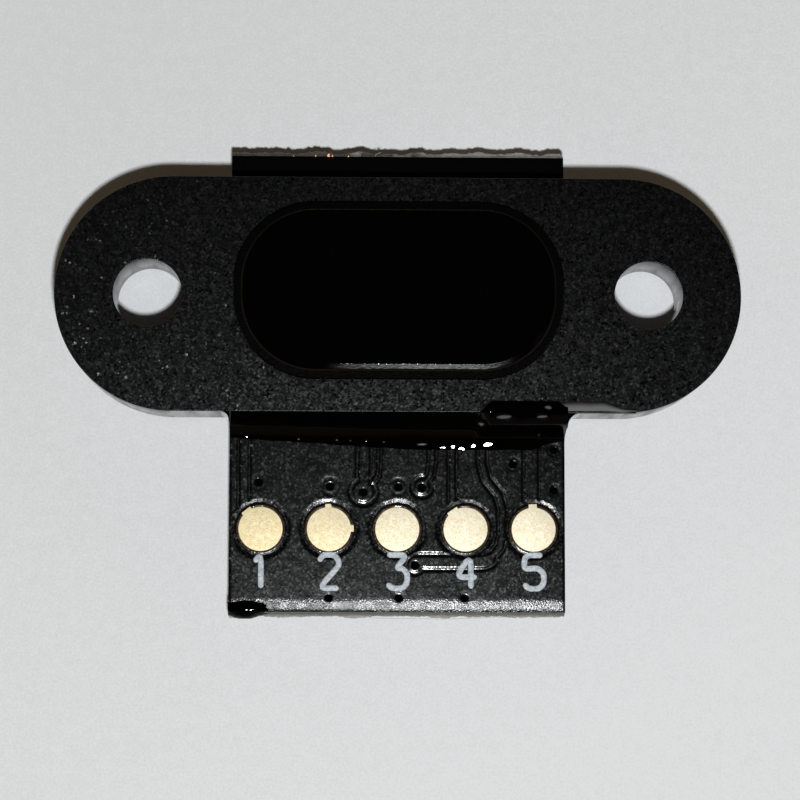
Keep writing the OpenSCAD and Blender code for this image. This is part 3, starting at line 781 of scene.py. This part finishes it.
def board_laminate():
    """The laminate between the two skins, lofted along the board with ragged, layered ends."""
    under_front, over_rear, tuck = 0.745, 0.035, 0.02
    layers = [0.735 - 0.69 * k / 15 for k in range(16)]
    head_reach = LAMINATE_HIGH.y - HEAD_Y
    tail_reach = TAIL_Y - LAMINATE_LOW.y
    rings, glass = [], []
    for x in np.linspace(-BOARD_X, BOARD_X, 260):
        pale = 0.15 + 0.85 * ease(0.4, 1.0, x)
        for low, high in ((-1.42, -1.12), (-0.15, 0.4)):
            pale = max(pale, 0.8 * float(band(x, low, high, 0.06)))
        ring = [(x, TAIL_Y + tuck, under_front), (x, HEAD_Y - tuck, under_front)]
        tone = [0.1, 0.1]
        for z in layers:
            out = min(1.0, max(0.12, broken_edge(x, z, 1.7)))
            ring.append((x, HEAD_Y + head_reach * 0.86 * out, z))
            tone.append(pale * (0.55 + 0.45 * out))
        ring += [(x, HEAD_Y - tuck, over_rear), (x, TAIL_Y + tuck, over_rear)]
        tone += [0.1, 0.1]
        for z in reversed(layers):
            out = min(1.0, max(0.08, broken_edge(x, z, 6.2)))
            ring.append((x, TAIL_Y - tail_reach * 0.9 * out, z))
            tone.append(0.25 + 0.75 * ease(0.25, 0.9, out))
        rings.append(ring)
        glass += tone
    vertices, faces = [], []
    add_loft(vertices, faces, rings)
    made = piece("board_laminate", vertices, faces, "laminate", ["circuit_board"], 60)
    paint(made, glass=glass)
    return made


# Glass threads that stand out at the head: (x, sideways lean, reach)
HAIRS = [(-1.18, 0.16, 0.28), (-1.1, -0.12, 0.24), (-0.68, 0.2, 0.26), (4.7, 0.16, 0.27)]
# Torn copper at the head: (x, width, reach)
SHARDS = [
    (-2.44, 0.05, 0.05),
    (-2.06, 0.09, 0.1),
    (-1.95, 0.04, 0.06),
    (-1.47, 0.04, 0.04),
    (-3.1, 0.03, 0.03),
]


def glass_fibres():
    """Loose glass threads at both snapped ends: one long one that bows along the tail, and short ones."""
    vertices, faces = [], []
    arc = []
    arc_left, arc_length, arc_z, bow = -2.85, 7.5, 0.34, 0.165
    for i in range(41):
        t = i / 40
        out = 0.02 + bow * math.sin(math.pi * t) ** 0.7
        arc.append((arc_left + arc_length * t, TAIL_Y - out + 0.004 * math.sin(19 * t), arc_z))
    add_tube(vertices, faces, arc, 0.009)
    for start, lean, reach in HAIRS:
        hair = []
        for i in range(9):
            t = i / 8
            hair.append((start + lean * t * t, HEAD_Y + 0.02 + reach * t * (1 - 0.25 * t), 0.7 - 0.3 * t))
        add_tube(vertices, faces, hair, 0.008)
    for _ in range(70):
        x = random.uniform(-BOARD_X + 0.1, BOARD_X - 0.1)
        length = random.uniform(0.08, 0.19)
        lean = random.uniform(-0.1, 0.1)
        z = random.uniform(0.25, 0.5)
        thread = [(x + lean * t, TAIL_Y + 0.03 - length * t, z + 0.05 * t) for t in (0, 0.33, 0.66, 1)]
        add_tube(vertices, faces, thread, 0.006, 5)
    return piece("glass_fibres", vertices, faces, "glass_fibre")


def cut_tracks():
    """Torn copper where tracks crossed the snapped end."""
    vertices, faces = [], []
    for x, width, reach in SHARDS:
        shard = [(x - width / 2, HEAD_Y - 0.05), (x + width / 2, HEAD_Y - 0.05)]
        shard += [(x + width * 0.35, HEAD_Y + reach * 0.6), (x + width * 0.05, HEAD_Y + reach)]
        shard.append((x - width * 0.4, HEAD_Y + reach * 0.5))
        under, over, tilt = 0.765, 0.79, 0.1
        rings = [[(px, py, z + tilt * (py - HEAD_Y)) for px, py in shard] for z in (under, over)]
        add_loft(vertices, faces, rings)
    return piece("cut_tracks", vertices, faces, "copper")


def pad_outline(nubs):
    """A round pad with short square nubs where tracks join it: each nub is (angle, half width, reach)."""
    points = []
    longest = 0.9
    for i in range(360):
        a = math.radians(i)
        r = PAD_R
        for angle, half, reach in nubs:
            off = a - math.radians(angle)
            if math.cos(off) > 0.5:
                r = max(r, min(reach / math.cos(off), half / max(abs(math.sin(off)), 1e-6)))
        r = min(r, longest) * (1 + 0.004 * rough(3 * math.cos(a), 3 * math.sin(a), 2.2))
        points.append((r * math.cos(a), r * math.sin(a)))
    return points


def round_pads():
    """Five gold pads, four of them with nubs where tracks join them."""
    nubs = [
        [(128, 0.16, 0.71)],
        [(92, 0.09, 0.74), (2, 0.1, 0.73)],
        [],
        [(125, 0.17, 0.7)],
        [(92, 0.12, 0.75)],
    ]
    vertices, faces = [], []
    for pad_x, pad_nubs in zip(PAD_X, nubs):
        outline = pad_outline(pad_nubs)
        rings = []
        for shrink, depth in ((1, 0.05), (1, 0.004), (0.996, 0.001), (0.985, 0)):
            rings.append([(pad_x + shrink * x, PAD_Y + shrink * y, BOARD_Z - depth) for x, y in outline])
        add_loft(vertices, faces, rings)
    return piece("round_pads", vertices, faces, "gold_plate", ["test_pads"], 50)


# The digits 1 to 5 as pen strokes in a box 0.6 wide and 1 tall, the same as the CAD part's
BOWL = [(0.6, 0.17), (0.46, 0), (0.14, 0), (0, 0.15)]
DIGITS = [
    [(0.12, 0.78), (0.32, 1), (0.32, 0)],
    [(0, 0.8), (0.14, 1), (0.46, 1), (0.6, 0.82), (0.6, 0.66), (0, 0), (0.6, 0)],
    [(0, 1), (0.6, 1), (0.27, 0.6), (0.46, 0.6), (0.6, 0.44), *BOWL],
    [(0.46, 0), (0.46, 1), (0, 0.34), (0.64, 0.34)],
    [(0.56, 1), (0.04, 1), (0, 0.58), (0.42, 0.62), (0.6, 0.45), *BOWL],
]


def front_surface(x, y):
    return BOARD_Z + float(front_relief(np.array([x]), np.array([y]))[0])


def ink_stroke(vertices, faces, path, half_pen, thick):
    """A printed line with round ends and a low round back, laid on the board's surface."""
    fine = []
    for a, b in zip(path, path[1:]):
        count = max(2, round(math.dist(a, b) / 0.035))
        fine += [part_way(a, b, k, count) for k in range(count)]
    fine.append(path[-1])
    lengths = [math.dist(a, b) for a, b in zip(fine, fine[1:])]
    travelled = np.concatenate([[0], np.cumsum(lengths)])
    rings = []
    for i, (x, y) in enumerate(fine):
        back, ahead = fine[max(i - 1, 0)], fine[min(i + 1, len(fine) - 1)]
        run = math.dist(back, ahead)
        nx, ny = -(ahead[1] - back[1]) / run, (ahead[0] - back[0]) / run
        from_end = min(travelled[i], travelled[-1] - travelled[i])
        share = math.sqrt(max(0.08, 1 - max(0, 1 - from_end / half_pen) ** 2))
        wobble = 1 + 0.09 * rough(x / 0.12, y / 0.12, 4)
        ring = []
        for k in range(9):
            a = math.pi * k / 8
            across = math.cos(a) * half_pen * share * wobble
            px, py = x + nx * across, y + ny * across
            back_height = math.sin(a) ** 0.6 if 0 < k < 8 else -0.1
            ring.append((px, py, front_surface(px, py) + thick * back_height))
        rings.append(ring)
    add_loft(vertices, faces, rings)


def front_numbers():
    """Plain pin numbers, one under each pad."""
    tall, pen, thick = 0.98, 0.17, 0.014
    base = box_mm("front_ink")[0].y + pen / 2
    pitch = PAD_X[1] - PAD_X[0]
    vertices, faces = [], []
    for i, digit in enumerate(DIGITS):
        centre = (i - (len(DIGITS) - 1) / 2) * pitch
        path = [(centre + (px - 0.3) * tall, base + py * tall) for px, py in digit]
        ink_stroke(vertices, faces, rounded_corners(path), pen / 2, thick)
    return piece("front_numbers", vertices, faces, "marking_ink", ["front_ink"], 60)


# ---------------- glue


# Nearly level patches of the glue that catch the lamp: (x, y, half width, half height, haze)
GLINTS = [
    (1.34, -4.375, 0.12, 0.05, 0.0),
    (1.64, -4.355, 0.085, 0.08, 0.0),
    (1.87, -4.42, 0.11, 0.09, 0.0),
    (2.23, -4.33, 0.09, 0.09, 0.0),
    (2.66, -4.28, 0.16, 0.08, 0.0),
    (3.06, -3.58, 0.2, 0.07, 1.0),
    (4.17, -3.565, 0.15, 0.055, 1.0),
    (2.42, -3.75, 0.12, 0.06, 1.0),
    (4.34, -3.29, 0.09, 0.06, 1.2),
    (4.14, -4.03, 0.05, 0.05, 1.0),
    (-4.42, -4.09, 0.055, 0.05, 0.0),
    (-2.9, -4.15, 0.04, 0.04, 0.4),
    (-1.78, -4.175, 0.045, 0.035, 0.5),
    (-1.38, -4.19, 0.045, 0.035, 0.4),
    (-0.92, -4.21, 0.05, 0.045, 0.1),
    (-0.4, -4.22, 0.04, 0.035, 0.5),
    (0.72, -4.29, 0.14, 0.04, 0.75),
]


def lamp_slope(x, y):
    """Slopes along x and y of a patch that throws the lamp's light into the camera."""
    here = Vector((x, y, 1))
    normal = (CAMERA_PLACE - here).normalized() + (LAMP_PLACE - here).normalized()
    return -normal.x / normal.z, -normal.y / normal.z


def glue_surface(x, y):
    """Height of the glue before its glints, from the lap over the wall's edge down to the board."""
    heap = ease(2.15, 2.7, x)
    reach = min(1.0, 0.67 + 0.063 * (x + BOARD_X)) + 0.02 * rough(x / 0.5, 1, 3)
    ragged = 0.02 * rough(x / 0.09, 2, 3) + 0.01 * rough(x / 0.05, 7, 3)
    t = (WALL_Y - y) / reach
    t = min(1, max(0, t / (1 + ragged / reach * ease(0.55, 1.0, t))))
    top = FRONT_Z - 0.03 + 0.085 * heap
    toe = 0.25 * (1 - t) + 0.32 * (1 - t) ** 2
    slump = max(toe, 1 - 1.7 * t)
    folded = max(toe * 0.85, min(1 - 0.3 * t - 0.6 * t * t, 1.7 - 2.5 * t))
    wave = 0.03 * heap * math.sin(math.pi * t) * rough(x / 0.45, y / 0.4, 8)
    drawn_back = 0.14 * t * ease(3.8, 4.9, x)
    share = slump * (1 - heap) + folded * heap
    return BOARD_Z + 0.01 + (top - BOARD_Z - 0.01) * share + wave - drawn_back, reach + ragged, heap


def glinting(x, y, z):
    """The height with the glints worked in, and the haze there."""
    haze = 0
    for patch_x, patch_y, half_x, half_y, dull in GLINTS:
        off = math.hypot((x - patch_x) / half_x, (y - patch_y) / half_y)
        if off < 1.6:
            share = 1 - ease(0.85, 1.6, off)
            slope_x, slope_y = lamp_slope(patch_x, patch_y)
            level = glue_surface(patch_x, patch_y)[0] + slope_x * (x - patch_x) + slope_y * (y - patch_y)
            z = z * (1 - share) + level * share
            haze = max(haze, dull * share)
    return z, haze


def glue_bead():
    """The epoxy between the housing's lower wall and the board, heaped over the wall's edge at the right."""
    vertices, faces, rings, tones = [], [], [], []
    lap_steps, slope_steps = 12, 36
    for x in np.linspace(-BOARD_X, BOARD_X, 330):
        x = float(x)
        crest, reach, heap = glue_surface(x, WALL_Y)
        lap = 0.34 * ease(2.3, 2.75, x) * (1 - 0.5 * ease(4.6, 4.92, x))
        lap += 0.014 * heap * rough(x / 0.2, 0, 3)
        ring, haze = [], []
        for k in range(lap_steps):
            t = k / lap_steps
            y = WALL_Y + max(lap, 0.001) * (1 - t)
            film = crest - FRONT_Z if heap > 0 else 0
            climb = math.sin(math.pi / 2 * t) ** 0.6 if k else 0
            z, dull = glinting(x, y, crest - max(film, 0) * (1 - climb))
            ring.append((x, y, z))
            haze.append(dull)
        for k in range(slope_steps + 1):
            y = WALL_Y - reach * k / slope_steps
            z, dull = glinting(x, y, glue_surface(x, y)[0])
            ring.append((x, y, z))
            haze.append(dull)
        ring.append((x, WALL_Y - reach - 0.006, BOARD_Z - 0.02))
        ring.append((x, WALL_Y + 0.03, BOARD_Z - 0.02))
        ring.append((x, WALL_Y + 0.03, FRONT_Z - 0.06))
        ring.append((x, WALL_Y + max(lap, 0.03), FRONT_Z - (0.006 if lap > 0.05 else 0.05)))
        rings.append(ring)
        tones += haze + [0] * 4
    add_loft(vertices, faces, rings)
    add_corner_fillet(vertices, faces, side=-1, radius=0.27)
    add_corner_fillet(vertices, faces, side=1, radius=0.47)
    add_droplet(vertices, faces, centre=(-4.42, -9.1), half=(0.66, 0.3), tall=0.085)
    made = piece("glue_beading", vertices, faces, "epoxy_glue", ["glue_bead"], 60)
    paint(made, haze=tones)
    return made


def add_corner_fillet(vertices, faces, side, radius):
    """Glue drawn into the upright corner between the board's edge and the housing's wall."""
    rings = []
    foot, tall = 0.06, 1.84
    for k in range(15):
        z = foot + tall * k / 14
        r = radius * (1 - 0.12 * (k / 14) ** 3) * (0.75 + 0.25 * math.sin(math.pi * min(1, k / 5) / 2))
        ring = [(side * (BOARD_X - 0.03), WALL_Y + 0.03, z)]
        for i in range(17):
            a = math.pi / 2 * i / 16
            ring.append((side * (BOARD_X + r - r * math.cos(a)), WALL_Y - r + r * math.sin(a), z))
        ring[-1] = (ring[-1][0], WALL_Y + 0.01, z)
        rings.append(ring)
    add_loft(vertices, faces, rings)


def add_droplet(vertices, faces, centre, half, tall):
    """A flat drop of glue on the board's tail, spilling over the corner."""
    rings = []
    for k in range(9):
        a = math.pi / 2 * k / 8.5
        ring = []
        for i in range(64):
            b = 2 * math.pi * i / 64
            edge = 1 + 0.3 * rough(1.3 * math.cos(b), 1.3 * math.sin(b), 12)
            edge += 0.1 * rough(4 * math.cos(b), 4 * math.sin(b), 15)
            x = centre[0] + half[0] * edge * math.cos(a) * math.cos(b)
            y = centre[1] + half[1] * edge * math.cos(a) * math.sin(b)
            low = 0.2 if y < TAIL_Y else 0
            z = BOARD_Z - 0.06 + (tall + 0.03) * math.sin(a) - low * (1 - math.sin(a))
            ring.append((max(x, -BOARD_X - 0.02), max(y, LAMINATE_LOW.y), z))
        rings.append(ring)
    add_loft(vertices, faces, rings)


def glue_film():
    """The thin grey smear that runs out along the ear's lower edge, with a bare hollow in it. Its grey is
    partly real glue and partly a painted highlight of the housing's rounded edge, toward the right.
    """
    rings, wiped = [], []
    left, right, hollow_x = 4.5, 6.9, 6.0
    for x in np.linspace(left, right, 100):
        x = float(x)
        depth = 0.32 - 0.2 * ease(5.9, 6.6, x) + 0.03 * rough(x / 0.5, 0, 17)
        depth *= ease(4.4, 4.8, x)
        ends = ease(4.65, 4.95, x) * ease(6.85, 6.4, x)
        ring = []
        for k in range(15):
            t = k / 14
            y = WALL_Y + depth * (1 - t) - 0.012 * t
            hollow = math.exp(-(((x - hollow_x) / 0.32) ** 2) - ((y - WALL_Y - 0.03) / 0.08) ** 2)
            soft = ease(0, 0.55, t) * (1 - 0.5 * ease(0.9, 1.0, t))
            ring.append((x, y, FRONT_Z + 0.006 + 0.012 * math.sin(math.pi * min(1, 1.2 * t)) - 0.03 * t**8))
            # painted highlight in part: this grey share stands for the smear and also for light on the
            # housing's rounded edge
            wiped.append(max(0.0, ends * soft * (1 - 0.95 * hollow)))
        ring.append((x, WALL_Y - 0.012, FRONT_Z - 0.2))
        ring.append((x, WALL_Y + 0.01, FRONT_Z - 0.2))
        ring.append((x, WALL_Y + 0.04, FRONT_Z - 0.01))
        ring.append((x, WALL_Y + depth, FRONT_Z - 0.004))
        wiped += [0.5 * ends, 0.0, 0.0, 0.0]
        rings.append(ring)
    vertices, faces = [], []
    add_loft(vertices, faces, rings)
    made = piece("glue_film", vertices, faces, "glue_smear_and_painted_highlight", (), 60)
    paint(made, wiped=wiped)
    return made


# ---------------- CAD nodes that keep their own mesh

KEPT = {
    "window_adhesive": ("adhesive", 0),
    "rear_solder_mask": ("solder_mask_rear", 0),
    "wire_pads": ("gold_plate", 0),
    "component_lands": ("gold_plate", 0),
    "vias": ("copper", 0),
    "rear_ink": ("marking_ink", 0),
    "sensor_solder": ("solder", 0),
    "sensor_substrate": ("chip_substrate", 0),
    "sensor_lid": ("chip_plastic", 0.02),
    "receiver_die": ("silicon", 0),
    "laser_diode": ("silicon", 0),
    "receiver_filter": ("receiver_glass", 0),
    "bond_wires": ("gold_plate", 0),
    "microcontroller_body": ("chip_plastic", 0.02),
    "microcontroller_terminals": ("tin_plate", 0),
    "regulator_body": ("chip_plastic", 0.02),
    "regulator_leads": ("tin_plate", 0.015),
    "level_shifter_body": ("chip_plastic", 0.02),
    "level_shifter_leads": ("tin_plate", 0.015),
    "bulk_capacitor_bodies": ("capacitor_ceramic", 0.02),
    "bulk_capacitor_end_caps": ("tin_plate", 0.03),
    "small_capacitor_bodies": ("capacitor_ceramic", 0.02),
    "small_capacitor_end_caps": ("tin_plate", 0.03),
    "resistor_bodies": ("resistor_ceramic", 0.015),
    "resistor_glaze": ("resistor_glaze", 0),
    "resistor_end_caps": ("tin_plate", 0.02),
    "ferrite_body": ("ferrite", 0.02),
    "ferrite_end_caps": ("tin_plate", 0.03),
    "solder_joints": ("solder", 0.008),
}


def dress(node, material, bevel_mm):
    """Gives a CAD node its material, and rounds its edges where a bevel is named."""
    made = frame["nodes"][node]
    for held in made.material_slots:
        held.material = MATERIALS[material]
    if bevel_mm:
        weld = made.modifiers.new("weld", "WELD")
        weld.merge_threshold = 1e-7
        round_edges(made, bevel_mm, 2)


# ---------------- stage, light and camera


def floor():
    reach = 300
    points = [(x, y, FLOOR_Z) for y in (-reach, reach) for x in (-reach, reach)]
    mesh = new_mesh("floor", points, [(0, 1, 3, 2)])
    mesh.materials.append(MATERIALS["paper"])
    in_scene("floor", mesh)


def flash():
    """The one small lamp beside the camera. Constant falloff keeps the paper evenly lit."""
    lamp = bpy.data.lights.new("flash", "POINT")
    lamp.shadow_soft_size = 2.2 * MM
    lamp.energy = 1
    lamp.use_nodes = True
    tree = lamp.node_tree
    emission = tree.nodes["Emission"]
    falloff = tree.nodes.new("ShaderNodeLightFalloff")
    falloff.inputs["Strength"].default_value = 33.0
    tree.links.new(falloff.outputs["Constant"], emission.inputs["Strength"])
    emission.inputs["Color"].default_value = (0.97, 0.99, 1.0, 1)
    in_scene("flash", lamp).location = LAMP_PLACE * MM


def surroundings():
    """A dim warm room all round, grey below the floor's level and dark overhead, where level faces look."""
    world = bpy.data.worlds.new("room")
    bpy.context.scene.world = world
    world.use_nodes = True
    tree = world.node_tree
    background = tree.nodes["Background"]
    place = tree.nodes.new("ShaderNodeTexCoord")
    height = tree.nodes.new("ShaderNodeSeparateXYZ")
    ramp = tree.nodes.new("ShaderNodeValToRGB")
    tree.links.new(place.outputs["Generated"], height.inputs[0])
    tree.links.new(height.outputs["Z"], ramp.inputs[0])
    stops = ramp.color_ramp.elements
    stops[0].position, stops[0].color = 0.0, (0.18, 0.175, 0.165, 1)
    stops[1].position, stops[1].color = 0.62, (0.008, 0.007, 0.006, 1)
    for position in (0.03, 0.5):
        stops.new(position).color = (0.2, 0.15, 0.09, 1)
    tree.links.new(ramp.outputs[0], background.inputs[0])
    background.inputs[1].default_value = 1.0


def camera():
    data = bpy.data.cameras.new("camera")
    data.sensor_width = 36
    data.lens = 116.04
    data.clip_start = 1 * MM
    data.clip_end = 10
    made = in_scene("camera", data)
    made.matrix_world = Matrix.Translation(CAMERA_PLACE * MM) @ CAMERA_TURN.to_4x4()
    bpy.context.scene.camera = made


# ---------------- the whole part

housing_shell()
window_insert()
board_laminate()
front_mask()
glass_fibres()
cut_tracks()
round_pads()
front_numbers()
glue_bead()
glue_film()
for node, (material, bevel_mm) in KEPT.items():
    dress(node, material, bevel_mm)
floor()
flash()
surroundings()
camera()

view = bpy.context.scene.view_settings
view.view_transform = "Standard"
view.look = "None"
